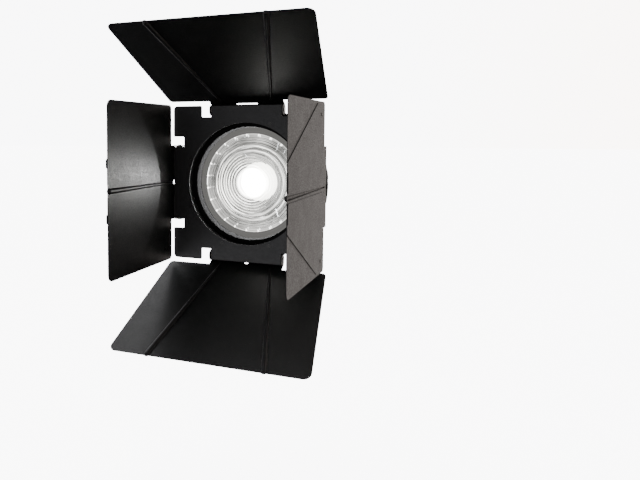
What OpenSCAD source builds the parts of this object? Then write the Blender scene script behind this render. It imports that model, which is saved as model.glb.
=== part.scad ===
// Fresnel lens head with a zoom drum and four-leaf barn doors.
// Millimetres. The optical axis is Y, the light leaves towards -Y, +Z is up.
// The origin is on the axis, on the seat of the rear bayonet.

/* [Head] */
// outside diameter of the front ring
head_d = 302; // [260:2:360]
// length of the head, from the front ring's face to the rear cover's face
head_len = 158.5; // [140:0.5:200]
// length of the smooth front band, up to the seam
band_len = 42; // [36:1:50]
// number of flutes around the zoom drum
flutes = 30; // [20:1:40]
// depth of each flute
flute_depth = 1.5; // [0.5:0.1:2.4]

/* [Lens] */
// diameter of the front lens
lens_d = 264; // [230:2:300]
// number of steps on the front lens
lens_rings = 18; // [10:1:26]
// how far the middle of the front lens stands ahead of its edge
lens_bulge = 12; // [4:0.5:16]
// diameter of the condenser lens
condenser_d = 104; // [80:2:130]

/* [Zoom] */
// turn of the zoom drum, in degrees
zoom_turn = 80; // [40:5:100]
// travel of the lens carriage
zoom_travel = 40; // [20:1:46]
// diameter of the cam rollers
roller_d = 8; // [6:0.5:10]

/* [Bayonet] */
// diameter of the bayonet's spigot
spigot_d = 93; // [80:1:100]
// diameter over the bayonet's lugs
lug_d = 98; // [86:1:108]
// length of the bayonet's spigot
spigot_len = 9; // [7:0.5:14]

/* [Barn doors] */
// width and height of the door plate
plate_w = 356; // [330:1:400]
// diameter of the hole in the door plate
plate_hole_d = 276.4; // [250:0.2:290]
// length of a leaf, from its hinge edge to its free edge
leaf_len = 282.5; // [200:0.5:300]
// width of the top and bottom leaves at the hinge
leaf_w = 371; // [350:1:400]
// width of the top and bottom leaves at the free edge
leaf_free_w = 428.6; // [380:0.2:460]
// height of the side leaves
side_h = 360; // [340:1:364]
// thickness of the leaf sheet
sheet_t = 1.2; // [0.8:0.1:2]
// how far the top and bottom leaves stand open at rest
rest_open = 31; // [10:1:60]
// width of a hinge
hinge_w = 166.4; // [120:0.2:180]
// thickness of the door plate
plate_t = 1.5; // [1:0.1:2.5]

/* [Part] */
// which piece to show

/* [Hidden] */

black = [0.13, 0.13, 0.14];
soft_black = [0.10, 0.10, 0.11];
leaf_black = [0.09, 0.09, 0.10];
steel = [0.62, 0.62, 0.64];
brass = [0.75, 0.60, 0.32];
glass = [0.80, 0.86, 0.90];
white = [0.86, 0.86, 0.82];

fit = 0.05;
gap = 0.3;

// head stations along Y
rear_y = -3;
rim_y = rear_y - head_len;
seam_y = rim_y + band_len;
head_r = head_d / 2;
drum_r = head_r - 3.5;
lens_r = lens_d / 2;
view_r = lens_r - 3;
lens_edge_y = rim_y + 14;
lens_t = 6.5;
cell_y = lens_edge_y + lens_t + 4.9;
retainer_t = 3;
barrel_ri = lens_r - 1;
barrel_r = barrel_ri + 3;
sleeve_ri = barrel_r + 2;
sleeve_r = sleeve_ri + 3;
cell_screw_r = barrel_r + 4.4;
cell_r = cell_screw_r + 4.1;

// zoom
car_y = -90;
per_deg = zoom_travel / zoom_turn;
mid_r = (sleeve_ri + sleeve_r) / 2;
helix = atan(per_deg / (mid_r * PI / 180));
slot_w = roller_d + 0.4;

// door ring and claws
ring_r = head_r + 28.5;
ring_bore = 130 / 138.2 * plate_hole_d / 2;
ring_depth = 10.7;
ring_back = rim_y - 0.6;
ring_front = ring_back - ring_depth;
hook_t = 3.9;
hook_y = ring_front - gap - hook_t;
bar_in = ring_r + 0.6;
bar_out = bar_in + 8.9;
hook_in = ring_r - 8.5;
claw_w = 51;
neck_w = 38;
bar_len = 22;

// doors
plate_y = ring_front - 26.2;
plate_r = plate_w / 2;
axis_y = plate_y + 8;
axis_r = plate_r - 10.7;
curl_r = 12.1;
leaf_e = 12.5;
leaf_t0 = 17.9;
leaf_t1 = leaf_t0 + leaf_len;
ear_in = hinge_w / 2;
ear_gap = 1;
leaf_ear = ear_in + ear_gap;
ear_t = 2.4;
ear_web = leaf_e - 1.3;
slot_t = 7.5;
bead_r = 6;
bead_r0 = 2.9;
notch_in = ear_in + 23.5;
notch_r = plate_r - 26.5;
pin_r = 2.5;

// wings, in leaf distances from the hinge line and from the middle
wing_t = 50;
wing_z = side_h / 2 - 27;
wing_sheet = 1;
wing_e = leaf_e + sheet_t + 0.4;

// ---------- helpers ----------

// a ring or disc turned about Y from a profile of [radius, y]
module turned(profile, fn = 180) {
    rotate([-90, 0, 0])
        rotate_extrude($fn = fn)
            polygon(profile);
}

// a straight rod along Y from y0 to y1
module rod_y(r, y0, y1, fn = 48) {
    translate([0, y0, 0])
        rotate([-90, 0, 0])
            cylinder(r = r, h = y1 - y0, $fn = fn);
}

// children turned about the optical axis
module around(a) {
    rotate([0, a, 0])
        children();
}

// a polygon with its corners rounded: pts are [x, y, radius]
function cut_len(p, q) = norm([q[0] - p[0], q[1] - p[1]]);
function unit(p, q) = [q[0] - p[0], q[1] - p[1]] / cut_len(p, q);
function corner(a, b, c, n) =
    let (r = b[2], u = unit(b, a), v = unit(b, c))
    let (half = acos(u * v) / 2)
    let (d = r / tan(half), m = (u + v) / norm(u + v))
    let (o = [b[0], b[1]] + m * (r / sin(half)))
    let (p = [b[0], b[1]] + u * d, q = [b[0], b[1]] + v * d)
    let (s = atan2(p[1] - o[1], p[0] - o[0]))
    let (e0 = atan2(q[1] - o[1], q[0] - o[0]) - s)
    let (e = e0 > 180 ? e0 - 360 : e0 < -180 ? e0 + 360 : e0)
    r < 0.01 ? [[b[0], b[1]]] :
    [for (i = [0 : n]) o + r * [cos(s + e * i / n), sin(s + e * i / n)]];
function rounded(pts, n = 6) =
    let (k = len(pts))
    [for (i = [0 : k - 1])
        each corner(pts[(i + k - 1) % k], pts[i], pts[(i + 1) % k], n)];

// a pan-head screw: the head sits at y = 0 and the shank runs to +Y
module screw(shank_r, head_r, head_h, length) {
    rod_y(shank_r, -0.01, length, 24);
    difference() {
        rod_y(head_r, -head_h, 0, 32);
        rod_y(head_r * 0.5, -head_h - 1, -head_h * 0.45, 6);
    }
}

// ---------- front ring and lens ----------

module claw_seat(grow = 0) {
    translate([-neck_w / 2 - grow, rim_y - 1, head_r - 2.4 - grow])
        cube([neck_w + 2 * grow, 25, 12]);
}

module front_ring() {
    color(black)
    difference() {
        turned([
            [view_r + 18, rim_y], [head_r - 1.6, rim_y],
            [head_r - 0.5, rim_y + 0.5], [head_r, rim_y + 1.6],
            [head_r, seam_y - 1.5], [head_r - 1.5, seam_y],
            [head_r - 3.8, seam_y], [head_r - 3.8, rim_y + 9],
            [cell_r + 0.6, rim_y + 9], [cell_r + 0.6, cell_y],
            [lens_r + 0.8, cell_y], [lens_r + 0.8, lens_edge_y - 1.7],
            [view_r, lens_edge_y - 1.7], [view_r, lens_edge_y - 3.2]]);
        for (a = [45 : 90 : 315])
            around(a) {
                claw_seat(0.02);
                for (x = [-11, 11])
                    translate([x, rim_y + 16, head_r - 9])
                        cylinder(r = 1.7, h = 8, $fn = 24);
            }
        for (a = [0 : 60 : 300])
            around(a)
                translate([0, 0, cell_screw_r])
                    rod_y(1.55, cell_y - 9, cell_y + 1, 24);
    }
}

module lens_gasket() {
    color(soft_black)
    turned([[view_r + 0.2, lens_edge_y - 1.65], [lens_r + 0.4, lens_edge_y - 1.65],
        [lens_r + 0.4, lens_edge_y - 0.05], [view_r + 0.2, lens_edge_y - 0.05]]);
}

// the stepped face: each ring follows the lens's curve and drops back to it
function ring_edge(i) = 17 + (view_r - 3 - 17) * i / (lens_rings - 1);
function bulge_at(r) = lens_edge_y - lens_bulge * (1 - pow(r / view_r, 2));
module fresnel_lens() {
    color(glass)
    turned(concat(
        [[0, lens_edge_y + lens_t], [0, bulge_at(0) - 1.6]],
        [for (k = [1 : 5]) [17 * k / 5, bulge_at(0) - 1.6 + 3.2 * pow(k / 5, 2)]],
        [for (i = [0 : lens_rings - 2]) each [
            [ring_edge(i) + 0.25, bulge_at(ring_edge(i)) - 1],
            [ring_edge(i + 1), bulge_at(ring_edge(i + 1)) - 1 + 0.4 + 0.022 * ring_edge(i)]]],
        [[view_r - 2.6, lens_edge_y], [lens_r, lens_edge_y],
            [lens_r, lens_edge_y + lens_t]]), 240);
}

module lens_retainer() {
    color(black)
    difference() {
        turned([[view_r - 1, cell_y + 0.05], [view_r - 1, lens_edge_y + lens_t + 0.05],
            [lens_r + 0.3, lens_edge_y + lens_t + 0.05], [lens_r + 0.3, cell_y + 0.05],
            [cell_r, cell_y + 0.05], [cell_r, cell_y + retainer_t],
            [view_r - 1, cell_y + retainer_t]]);
        for (a = [0 : 60 : 300])
            around(a)
                translate([0, 0, cell_screw_r])
                    rod_y(1.7, cell_y - 1, cell_y + 9, 24);
    }
}

flange_y = cell_y + retainer_t + 0.05;
module lens_cell_screws() {
    color(steel)
    for (a = [0 : 60 : 300])
        around(a)
            translate([0, flange_y + 3.02, cell_screw_r])
                mirror([0, 1, 0])
                    screw(1.5, 3, 2, 13);
}

// ---------- fixed barrel ----------

barrel_end = rear_y - 5;
module barrel() {
    color(soft_black)
    difference() {
        turned([
            [barrel_ri, flange_y], [cell_r, flange_y], [cell_r, flange_y + 3],
            [barrel_r, flange_y + 3], [barrel_r, barrel_end],
            [barrel_ri - 8, barrel_end], [barrel_ri - 8, barrel_end - 3],
            [barrel_ri, barrel_end - 3]]);
        for (a = [0 : 60 : 300])
            around(a)
                translate([0, 0, cell_screw_r])
                    rod_y(1.7, flange_y - 1, flange_y + 4, 24);
        for (a = [30 : 60 : 330])
            around(a)
                translate([0, 0, barrel_ri - 4])
                    rod_y(1.55, barrel_end - 5, barrel_end + 1, 24);
        for (a = [0, 120, 240])
            around(a) {
                translate([-slot_w / 2, car_y - 1, barrel_ri - 4])
                    cube([slot_w, zoom_travel + 2, 12]);
                for (y = [car_y - 1, car_y + zoom_travel + 1])
                    translate([0, y, barrel_ri - 4])
                        cylinder(r = slot_w / 2, h = 12, $fn = 32);
            }
    }
}

// ---------- claws ----------

module claw_profile() {
    rotate([90, 0, 90])
        linear_extrude(height = 1, center = true)
            polygon([[hook_y, hook_in], [hook_y, bar_out - 2], [hook_y + 2, bar_out],
                [hook_y + bar_len, bar_out], [hook_y + bar_len, bar_in],
                [ring_front - gap, bar_in], [ring_front - gap, hook_in]]);
}

module hook_bar() {
    difference() {
        scale([claw_w, 1, 1])
            claw_profile();
        for (s = [-1, 1])
            translate([s * claw_w / 2, hook_y + bar_len / 2, hook_in])
                rotate([0, 45, 0])
                    cube([7, bar_len + 2, 7], center = true);
        for (s = [-1, 1])
            translate([s * claw_w / 2, hook_y + bar_len / 2, bar_out])
                rotate([0, 45, 0])
                    cube([5, bar_len + 2, 5], center = true);
    }
}

neck_y = rim_y + 0.2;
module gusset(x0, x1, top) {
    rotate([90, 0, 90])
        translate([0, 0, x0])
            linear_extrude(height = x1 - x0)
                polygon([[neck_y, head_r - 2.3], [neck_y, top], [neck_y + 11, top],
                    [neck_y + 22.5, head_r + 3], [neck_y + 22.5, head_r - 2.3]]);
}

module claw() {
    difference() {
        union() {
            hook_bar();
            gusset(-neck_w / 2, neck_w / 2, bar_in + 3);
            translate([-14, hook_y + 6, bar_out - 0.5])
                cube([28, 11, 1.7]);
        }
        for (x = [-11, 11])
            translate([x, rim_y + 16, head_r - 6]) {
                cylinder(r = 1.7, h = 60, $fn = 24);
                translate([0, 0, 10])
                    cylinder(r = 3.3, h = 60, $fn = 32);
            }
        for (x = [-9.5, 9.5])
            translate([x, neck_y + 12.5, head_r + 26])
                cube([13, 14, 26], center = true);
    }
}

module claws() {
    color(black)
    for (a = [135, 225, 315])
        around(a)
            claw();
}

module claw_screws() {
    color(steel)
    for (a = [45 : 90 : 315])
        around(a)
            for (x = [-11, 11])
                translate([x, rim_y + 16, head_r + 4.02])
                    rotate([90, 0, 0])
                        mirror([0, 1, 0])
                            screw(1.5, 2.9, 2, 12);
}

// ---------- the sprung claw ----------

latch_travel = 10;
guide_top = head_r + 17;
module at_latch() {
    around(45)
        children();
}

module latch_base() {
    color(black)
    at_latch()
    difference() {
        rotate([90, 0, 90])
            linear_extrude(height = neck_w, center = true)
                polygon([[neck_y, head_r - 2.3], [neck_y, guide_top],
                    [neck_y + 15, guide_top], [neck_y + 22.5, head_r + 3],
                    [neck_y + 22.5, head_r - 2.3]]);
        translate([-8, neck_y + 3, head_r + 1])
            cube([16, 8, 40]);
        for (x = [-13.5, 13.5])
            translate([x, neck_y + 7, head_r + 3])
                cylinder(r = 3, h = 40, $fn = 32);
        for (x = [-11, 11])
            translate([x, rim_y + 16, head_r - 6]) {
                cylinder(r = 1.7, h = 60, $fn = 24);
                translate([0, 0, 10])
                    cylinder(r = 3.3, h = 60, $fn = 32);
            }
    }
}

module latch_claw() {
    color(black)
    at_latch()
    difference() {
        union() {
            hook_bar();
            translate([-neck_w / 2, neck_y, guide_top + 0.3])
                cube([neck_w, 15, bar_in + 3 - guide_top - 0.3]);
            translate([-7.7, neck_y + 3.3, head_r + 2])
                cube([15.4, 7.4, bar_in - head_r]);
        }
        for (x = [-13.5, 13.5])
            translate([x, neck_y + 7, guide_top])
                cylinder(r = 3, h = 4, $fn = 32);
        for (x = [-8, 8])
            translate([x, hook_y + 11.5, bar_out - 5])
                cylinder(r = 1.3, h = 8, $fn = 24);
    }
}

module latch_pull() {
    color(soft_black)
    at_latch()
    difference() {
        union() {
            translate([-14, hook_y + 6, bar_out + 0.02])
                cube([28, 11, 1.7]);
            translate([-11, hook_y + 14.5, bar_out + 0.7])
                rotate([-12, 0, 0])
                    cube([22, 2.4, 9]);
        }
        for (x = [-8, 8])
            translate([x, hook_y + 11.5, bar_out - 1])
                cylinder(r = 1.4, h = 8, $fn = 24);
    }
}

module latch_pull_screws() {
    color(steel)
    at_latch()
    for (x = [-8, 8])
        translate([x, hook_y + 11.5, bar_out + 1.75])
            rotate([90, 0, 0])
                mirror([0, 1, 0])
                    screw(1.2, 2.2, 1.1, 5);
}

spring_low = head_r + 3.05;
spring_high = guide_top + 3.95;
module latch_spring() {
    color(steel)
    at_latch()
    for (x = [-13.5, 13.5])
        translate([x, neck_y + 7, spring_low])
            for (i = [0 : 8])
                translate([0, 0, 0.4 + (spring_high - spring_low - 0.8) * i / 8])
                    rotate_extrude($fn = 24)
                        translate([2.2, 0])
                            circle(r = 0.4, $fn = 8);
}

// ---------- rear ----------

bore_r = spigot_d / 2 - 4.5;
module rear_cover() {
    color(black)
    difference() {
        turned([
            [bore_r + 1, barrel_end + 0.05], [barrel_ri - 9, barrel_end + 0.05],
            [barrel_ri - 9, barrel_end + 0.05], [barrel_r + 1.2, barrel_end + 0.05],
            [barrel_r + 1.2, rear_y - 1.2], [barrel_r, rear_y],
            [78, rear_y], [78, rear_y - 1.2], [66, rear_y - 1.2], [66, rear_y],
            [bore_r + 1, rear_y]]);
        for (a = [30 : 60 : 330])
            around(a)
                translate([0, 0, barrel_ri - 4]) {
                    rod_y(1.7, barrel_end - 1, rear_y + 1, 24);
                    rod_y(3.3, rear_y - 2.2, rear_y + 1, 32);
                }
        for (a = [0 : 60 : 300])
            around(a)
                translate([0, 0, spigot_d / 2 + 9])
                    rod_y(1.55, barrel_end - 1, rear_y + 1, 24);
        for (a = [15 : 15 : 345])
            around(a)
                translate([-2, barrel_end - 1, 88])
                    cube([4, 8, 22]);
    }
}

module rear_cover_screws() {
    color(steel)
    for (a = [30 : 60 : 330])
        around(a)
            translate([0, rear_y - 2.18, barrel_ri - 4])
                mirror([0, 1, 0])
                    screw(1.5, 3, 1.9, 7);
}

module bayonet_ring() {
    color(steel)
    difference() {
        union() {
            turned([
                [bore_r, rear_y + 0.02], [spigot_d / 2 + 14, rear_y + 0.02],
                [spigot_d / 2 + 14, -0.8], [spigot_d / 2 + 13.2, 0],
                [spigot_d / 2, 0], [spigot_d / 2, spigot_len],
                [bore_r, spigot_len]]);
            for (a = [0, 120, 240])
                around(a)
                    intersection() {
                        turned([[spigot_d / 2 - 2, spigot_len - 3.4],
                            [lug_d / 2, spigot_len - 3.4],
                            [lug_d / 2, spigot_len - 0.6],
                            [lug_d / 2 - 0.6, spigot_len],
                            [spigot_d / 2 - 2, spigot_len]]);
                        translate([-12, 0, 0])
                            cube([24, spigot_len + 1, lug_d]);
                    }
        }
        for (a = [0 : 60 : 300])
            around(a)
                translate([0, 0, spigot_d / 2 + 9]) {
                    rod_y(1.7, rear_y - 1, 1, 24);
                    rod_y(3.1, -1.9, 1, 32);
                }
        around(60)
            translate([-2, -2, spigot_d / 2 + 12])
                cube([4, 4, 6]);
    }
}

module bayonet_screws() {
    color(steel)
    for (a = [0 : 60 : 300])
        around(a)
            translate([0, -1.88, spigot_d / 2 + 9])
                mirror([0, 1, 0])
                    screw(1.5, 2.8, 1.7, 6);
}

// ---------- zoom drum ----------

drum_back = rear_y - 6;
drum_in = drum_r - 4;
lip_r = barrel_r + 4.2;
round_r = 7;
drum_screw_r = lip_r + 3.1;
module zoom_drum() {
    color(black)
    difference() {
        turned(concat(
            [[drum_in, seam_y + 0.5], [drum_r - 1, seam_y + 0.5],
                [drum_r, seam_y + 1.5]],
            [for (k = [0 : 6]) [drum_r - round_r + round_r * cos(15 * k),
                drum_back - round_r + round_r * sin(15 * k)]],
            [[lip_r, drum_back], [lip_r, drum_back - 7.9],
                [drum_in, drum_back - 7.9]]), 240);
        for (i = [0 : flutes - 1])
            around(360 * (i + 0.5) / flutes)
                translate([0, 0, drum_r + 38 - flute_depth])
                    rod_y(38, seam_y + 6, rear_y + 2, 96);
        for (a = [20 : 60 : 320])
            around(a)
                translate([0, 0, drum_screw_r]) {
                    rod_y(1.7, drum_back - 9, drum_back + 1, 24);
                    rod_y(2.9, drum_back - 4.5, drum_back + 1, 32);
                }
    }
}

sleeve_back = drum_back - 7.95;
sleeve_front = flange_y + 8;
module cam_sleeve() {
    color(steel)
    difference() {
        turned([
            [sleeve_ri, sleeve_front], [sleeve_r, sleeve_front],
            [sleeve_r, sleeve_back - 5], [drum_in - 0.2, sleeve_back - 5],
            [drum_in - 0.2, sleeve_back], [sleeve_ri, sleeve_back]]);
        for (a = [20 : 60 : 320])
            around(a)
                translate([0, 0, drum_screw_r])
                    rod_y(1.55, sleeve_back - 6, sleeve_back + 1, 24);
        for (b = [0, 120, 240])
            around(b) {
                for (k = [0 : 7])
                    around(-zoom_turn * (k + 0.5) / 8)
                        translate([0, car_y + zoom_travel * (k + 0.5) / 8, mid_r])
                            rotate([0, 0, -helix])
                                cube([mid_r * zoom_turn / 8 * PI / 180 + 2.5,
                                    slot_w, 8], center = true);
                for (k = [-0.06, 8.06])
                    around(-zoom_turn * k / 8)
                        translate([0, car_y + zoom_travel * k / 8, mid_r - 4])
                            cylinder(r = slot_w / 2, h = 8, $fn = 32);
            }
    }
}

module glide_rings() {
    color(white)
    for (y = [sleeve_front + 1, sleeve_back - 9])
        turned([[barrel_r + fit, y], [sleeve_ri - 0.02, y],
            [sleeve_ri - 0.02, y + 8], [barrel_r + fit, y + 8]]);
}

module drum_screws() {
    color(steel)
    for (a = [20 : 60 : 320])
        around(a)
            translate([0, drum_back - 4.48, drum_screw_r])
                mirror([0, 1, 0])
                    screw(1.5, 2.7, 2, 8);
}

// ---------- lens carriage ----------

cond_r = condenser_d / 2;
module lens_carriage() {
    color(soft_black)
    difference() {
        union() {
            turned([
                [cond_r + 0.3, car_y - 12], [cond_r + 5, car_y - 12],
                [cond_r + 5, car_y - 2], [barrel_ri - 4, car_y - 2],
                [barrel_ri - 4, car_y - 8], [barrel_ri - 0.3, car_y - 8],
                [barrel_ri - 0.3, car_y + 8], [barrel_ri - 4, car_y + 8],
                [barrel_ri - 4, car_y + 2], [cond_r + 5, car_y + 2],
                [cond_r + 5, car_y + 6], [cond_r - 2.5, car_y + 6],
                [cond_r - 2.5, car_y + 3], [cond_r + 0.3, car_y + 3]]);
            for (a = [0, 120, 240])
                around(a)
                    translate([0, car_y, barrel_ri - 14])
                        cylinder(r = 5.5, h = 11, $fn = 32);
        }
        for (a = [0, 120, 240])
            around(a)
                translate([0, car_y, barrel_ri - 12])
                    cylinder(r = 2.05, h = 20, $fn = 32);
        for (a = [30 : 60 : 330])
            around(a)
                translate([0, 0, (cond_r + barrel_ri) / 2])
                    rod_y(20, car_y - 5, car_y + 5, 64);
    }
}

module condenser_lens() {
    color(glass)
    turned(concat(
        [[0, car_y + 2.9], [0, car_y - 19]],
        [for (k = [1 : 14]) [cond_r * k / 14, car_y - 19 + 15 * pow(k / 14, 2)]],
        [[cond_r, car_y + 2.9]]), 120);
}

module condenser_retainer() {
    color(black)
    difference() {
        turned([[cond_r - 2.5, car_y - 14.1], [cond_r + 5, car_y - 14.1],
            [cond_r + 5, car_y - 12.05], [cond_r - 2.5, car_y - 12.05]]);
        for (a = [0 : 30 : 330])
            around(a)
                translate([0, 0, cond_r + 5.5])
                    rod_y(1.6, car_y - 15, car_y - 11, 24);
    }
}

module cam_rollers() {
    color(brass)
    for (a = [0, 120, 240])
        around(a)
            translate([0, car_y, barrel_ri + 0.2])
                difference() {
                    cylinder(r = roller_d / 2, h = sleeve_r - barrel_ri + 0.4, $fn = 48);
                    translate([0, 0, -1])
                        cylinder(r = 2.05, h = 20, $fn = 32);
                }
}

module roller_pins() {
    color(steel)
    for (a = [0, 120, 240])
        around(a)
            translate([0, car_y, barrel_ri - 11])
                union() {
                    cylinder(r = 2, h = sleeve_r - barrel_ri + 11.7, $fn = 32);
                    translate([0, 0, sleeve_r - barrel_ri + 11.7])
                        cylinder(r = 3, h = 1.2, $fn = 32);
                }
}

// ---------- barn door frame ----------

module plate_side(a) {
    around(a) {
        difference() {
            intersection() {
                translate([-ear_in, axis_y, axis_r])
                    rotate([0, 90, 0])
                        difference() {
                            cylinder(r = curl_r, h = 2 * ear_in, $fn = 96);
                            translate([0, 0, 1.6])
                                cylinder(r = curl_r - 1.2, h = 2 * ear_in - 3.2, $fn = 96);
                        }
                translate([-ear_in - 1, plate_y, axis_r - curl_r - 1])
                    cube([2 * ear_in + 2, 40, 60]);
            }
            translate([-ear_in + 1.6, axis_y - 5, axis_r - curl_r - 1])
                cube([2 * ear_in - 3.2, 40, curl_r - 1]);
            rotate([0, 90, 0])
                translate([-axis_r, axis_y, -ear_in - 1])
                    cylinder(r = pin_r + 0.02, h = 2 * ear_in + 2, $fn = 32);
        }
    }
}

function side_pts(a) =
    let (c = cos(a), s = sin(a))
    [for (p = [[-plate_r, plate_r, 9], [-notch_in, plate_r, 4],
        [-notch_in, notch_r, 3], [-ear_in, notch_r, 2],
        [-ear_in, axis_r + 9.2, 0], [ear_in, axis_r + 9.2, 0],
        [ear_in, notch_r, 2], [notch_in, notch_r, 3], [notch_in, plate_r, 4]])
        [p[0] * c + p[1] * s, -p[0] * s + p[1] * c, p[2]]];

module door_plate() {
    color(black)
    difference() {
        union() {
            translate([0, plate_y + plate_t, 0])
                rotate([90, 0, 0])
                    linear_extrude(height = plate_t)
                        polygon(rounded([for (a = [0, 90, 180, 270])
                            each side_pts(a)], 6));
            for (a = [0 : 90 : 270])
                plate_side(a);
        }
        rod_y(plate_hole_d / 2, plate_y - 1, plate_y + plate_t + 1, 240);
        for (a = [22.5 : 45 : 360])
            around(a)
                translate([0, 0, plate_hole_d / 2 + 9])
                    rod_y(2.02, plate_y - 1, plate_y + 5, 32);
    }
}

collar_r = plate_hole_d / 2 + 3;
module door_ring() {
    color(black)
    difference() {
        turned([
            [collar_r, plate_y + plate_t + 0.02], [collar_r + 11, plate_y + plate_t + 0.02],
            [collar_r + 11, plate_y + plate_t + 1.5], [collar_r + 1.5, plate_y + plate_t + 1.5],
            [collar_r + 1.5, ring_front], [ring_r - 0.6, ring_front],
            [ring_r, ring_front + 0.6], [ring_r, ring_back],
            [ring_r - 1.6, ring_back], [ring_r - 1.6, ring_front + 2],
            [ring_bore, ring_front + 2], [ring_bore, ring_front],
            [collar_r, ring_front]], 240);
        for (a = [0 : 90 : 270])
            around(a)
                translate([-26, ring_front - 1, ring_r - 12])
                    cube([52, 4, 8.5]);
        for (a = [22.5 : 45 : 360])
            around(a)
                translate([0, 0, plate_hole_d / 2 + 9])
                    rod_y(2.02, plate_y - 1, plate_y + 5, 32);
    }
}

module ring_rivets() {
    color(black)
    for (a = [22.5 : 45 : 360])
        around(a)
            translate([0, 0, plate_hole_d / 2 + 9]) {
                rod_y(2, plate_y - 0.5, plate_y + plate_t + 2.5, 24);
                rod_y(3.4, plate_y - 1.1, plate_y - 0.02, 32);
                rod_y(3, plate_y + plate_t + 1.54, plate_y + plate_t + 2.6, 32);
            }
}

module at_hinges() {
    for (a = [0 : 90 : 270])
        around(a)
            for (s = [0, 1])
                mirror([s, 0, 0])
                    translate([0, axis_y, axis_r])
                        rotate([0, 90, 0])
                            children();
}

module hinge_pins() {
    color(steel)
    at_hinges() {
        translate([0, 0, ear_in - 3.2])
            cylinder(r = 4.4, h = 1.58, $fn = 32);
        translate([0, 0, ear_in - 3])
            cylinder(r = pin_r, h = ear_gap + ear_t + 4.2, $fn = 32);
        translate([0, 0, leaf_ear + ear_t + 0.05])
            cylinder(r = 4.6, h = 1.6, $fn = 32);
    }
}

module friction_washers() {
    color(white)
    at_hinges()
        translate([0, 0, ear_in + 0.02])
            difference() {
                cylinder(r = 7.5, h = ear_gap - 0.05, $fn = 48);
                translate([0, 0, -1])
                    cylinder(r = pin_r + 0.05, h = 5, $fn = 32);
            }
}

// ---------- leaves ----------
// a leaf in its own frame: X along the hinge, -Y towards the free edge,
// Z outwards, with the hinge axis at the origin

module stripe(x0, t0, x1, t1, r0, r1) {
    run = norm([x1 - x0, t1 - t0]);
    translate([x0, -t0, leaf_e + 0.4])
        rotate([0, 0, atan2(-(t1 - t0), x1 - x0)])
            rotate([0, 90, 0])
                rotate_extrude($fn = 48)
                    polygon(concat(
                        [for (k = [0 : 5]) [r0 * sin(18 * k), -r0 * cos(18 * k)]],
                        [for (k = [5 : -1 : 0]) [r1 * sin(18 * k), run + r1 * cos(18 * k)]]));
}

module leaf_ears() {
    for (s = [0, 1])
        mirror([s, 0, 0])
            translate([leaf_ear, 0, 0])
                difference() {
                    union() {
                        rotate([0, 90, 0])
                            cylinder(r = leaf_e - 0.2, h = ear_t, $fn = 96);
                        translate([0, -leaf_t0 - 1, ear_web])
                            cube([ear_t, leaf_t0 + 2, leaf_e + sheet_t - ear_web]);
                    }
                    translate([-1, 0, 0])
                        rotate([0, 90, 0])
                            cylinder(r = pin_r + fit, h = 5, $fn = 32);
                }
}

module leaf_sheet(w0, w1, slot) {
    translate([0, 0, leaf_e])
        linear_extrude(height = sheet_t)
            polygon(rounded([
                [-w0 / 2, -leaf_t0, 9], [-leaf_ear - ear_t, -leaf_t0, 0],
                [-leaf_ear - ear_t, 1, 0], [-slot, 1, 1], [-slot, -slot_t, 1],
                [slot, -slot_t, 1], [slot, 1, 1], [leaf_ear + ear_t, 1, 0],
                [leaf_ear + ear_t, -leaf_t0, 0], [w0 / 2, -leaf_t0, 9],
                [w1 / 2, -leaf_t1, 15], [-w1 / 2, -leaf_t1, 15]]));
}

module bead(x0, t0, x1, t1) {
    intersection() {
        stripe(x0, t0, x1, t1, bead_r0, bead_r);
        translate([-400, -500, 0])
            cube([800, 600, leaf_e + sheet_t]);
    }
}

module wide_leaf(slot) {
    b0 = 60;
    b1 = leaf_free_w * 0.2885;
    difference() {
        union() {
            leaf_sheet(leaf_w, leaf_free_w, slot);
            leaf_ears();
            for (s = [-1, 1])
                bead(s * b0, leaf_t0 + 0.6, s * b1, leaf_t1 - 4);
        }
        for (s = [-1, 1])
            stripe(s * b0, leaf_t0 + 0.6, s * b1, leaf_t1 - 4,
                bead_r0 - sheet_t, bead_r - sheet_t);
    }
}

module side_leaf() {
    difference() {
        union() {
            leaf_sheet(side_h, side_h, 4.5);
            leaf_ears();
            bead(0, leaf_t0 - 2.4, 0, leaf_t1 - 4);
        }
        stripe(0, leaf_t0 - 2.4, 0, leaf_t1 - 4, bead_r0 - sheet_t, bead_r - sheet_t);
        for (s = [-1, 1])
            translate([s * wing_z, -wing_t, 0])
                cylinder(r = 2.02, h = 30, $fn = 32);
    }
}

// puts a leaf's frame on its hinge: side is the turn about the axis
module on_hinge(side, open) {
    around(side)
        translate([0, axis_y, axis_r])
            rotate([-open, 0, 0])
                children();
}

module top_leaf() {
    color(leaf_black)
    on_hinge(0, rest_open)
        wide_leaf(25);
}

module bottom_leaf() {
    color(leaf_black)
    on_hinge(180, rest_open)
        wide_leaf(4.5);
}

module right_leaf() {
    color(leaf_black)
    on_hinge(90, 0)
        side_leaf();
}

module left_leaf() {
    color(leaf_black)
    on_hinge(270, 0)
        side_leaf();
}

// a wing in its leaf's frame, on the +X half
module wing() {
    translate([0, 0, wing_e])
        difference() {
            linear_extrude(height = wing_sheet)
                polygon(rounded([
                    [wing_z + 21, -wing_t + 24, 14], [wing_z + 22, -wing_t - 34, 9],
                    [64.5, -leaf_t1 + 1.5, 1], [62, -leaf_t1 - 2.5, 2],
                    [47, -leaf_t1 - 2.5, 2], [45, -leaf_t1 + 1.5, 1],
                    [9, -leaf_t1 + 1.5, 5], [9, -wing_t + 24, 8]]));
            translate([wing_z, -wing_t, -1])
                cylinder(r = 2.05, h = 4, $fn = 32);
        }
}

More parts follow.
